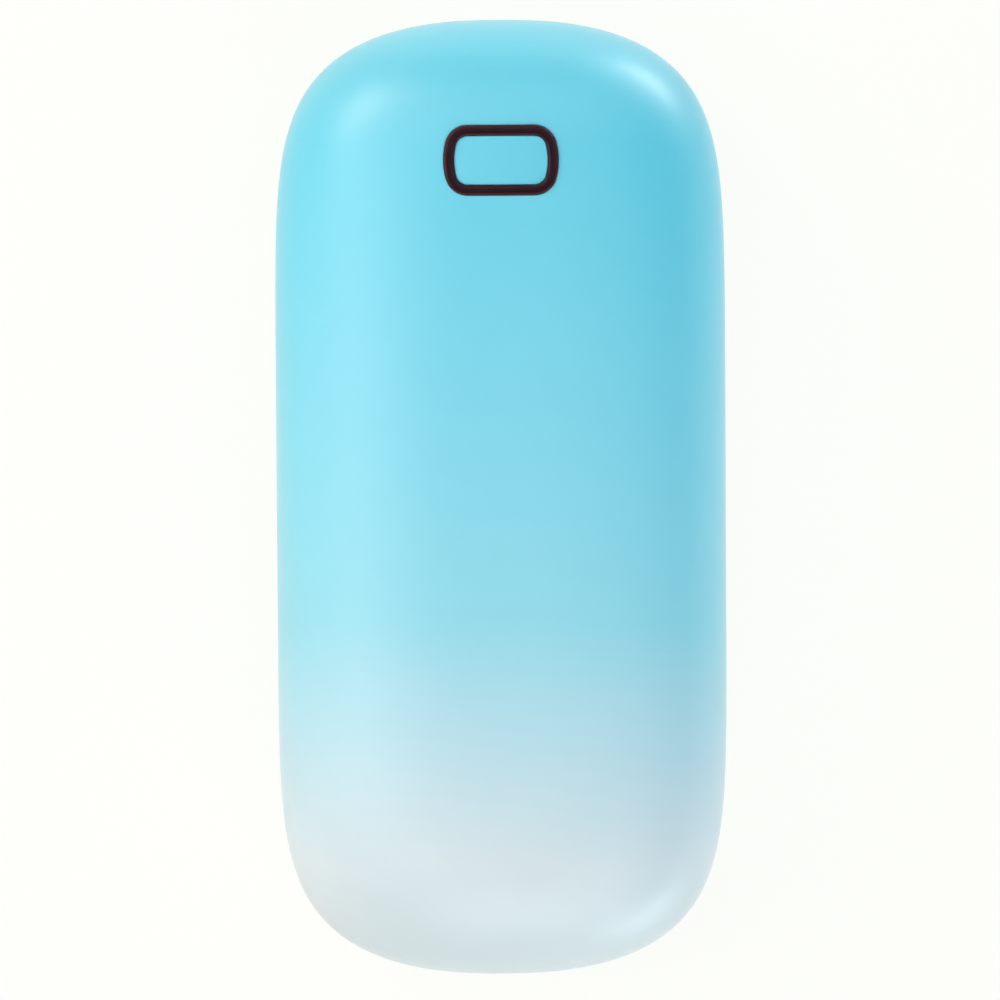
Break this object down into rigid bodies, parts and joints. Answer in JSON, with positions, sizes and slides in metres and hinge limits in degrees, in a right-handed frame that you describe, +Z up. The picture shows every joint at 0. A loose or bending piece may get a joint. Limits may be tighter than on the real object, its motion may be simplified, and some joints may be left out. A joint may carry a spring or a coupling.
{
  "type": "rechargeable hand warmer",
  "caption": "Pebble-shaped pocket hand warmer: a push button inside a smoked light ring, a charging socket in the end, battery cells and heat plates inside.",
  "frame": {"origin": "middle of the flat on the rear shell that it rests on", "axes": "+Y along the body towards the charging socket, +Z up through the front face with the button, +X to the right seen from the front"},
  "size_m": [0.048, 0.1019, 0.0262],
  "materials": {
    "shell_plastic": "satin",
    "ring_plastic": "gloss",
    "black_plastic": "matte",
    "white_plastic": "satin",
    "board_laminate": "satin",
    "steel": "satin",
    "nickel": "satin",
    "gold_plated": "polished",
    "cell_can": "satin",
    "heat_spreader": "satin",
    "heater_film": "satin",
    "foam": "matte",
    "paper": "matte",
    "ferrite": "matte",
    "red_silicone": "satin",
    "black_silicone": "satin",
    "white_silicone": "satin"
  },
  "bodies": {
    "case": {"front_shell": "shell_plastic", "rear_shell": "shell_plastic", "light_ring": "ring_plastic", "switch_base": "black_plastic", "switch_cover": "steel", "switch_dome": "steel", "circuit_board": "board_laminate", "board_screws": "steel", "usb_socket_shell": "steel", "usb_socket_tongue": "black_plastic", "usb_contacts": "gold_plated", "indicator_leds": "white_plastic", "main_chip": "black_plastic", "power_inductor": "ferrite", "heater_transistors": "black_plastic", "board_capacitors": "ferrite", "battery_cell_left": "cell_can", "battery_cell_right": "cell_can", "cell_washers": "paper", "positive_strip": "nickel", "negative_strip": "nickel", "tail_bracket": "white_plastic", "head_bracket": "white_plastic", "front_heat_plate": "heat_spreader", "rear_heat_plate": "heat_spreader", "front_heater_film": "heater_film", "rear_heater_film": "heater_film", "front_foam_pad": "foam", "rear_foam_pad": "foam", "positive_lead": "red_silicone", "negative_lead": "black_silicone", "front_heater_leads": "white_silicone", "rear_heater_leads": "white_silicone", "temperature_sensor": "black_plastic", "sensor_leads": "white_silicone"},
    "button": {"button_cap": "shell_plastic"},
    "plunger": {"switch_plunger": "black_plastic"}
  },
  "joints": [
    {"name": "button_press", "type": "slide", "parent": "case", "child": "button", "axis": [0, 0, -1], "range_m": [0, 0.0003], "stiffness_N_per_m": 5000, "deforming": ["switch_dome"]},
    {"name": "switch_plunger_slide", "type": "slide", "parent": "case", "child": "plunger", "axis": [0, 0, -1], "range_m": [0, 0.0003]}
  ],
  "couplings": [
    {"joint": "switch_plunger_slide", "follows": "button_press", "ratio": 1}
  ]
}
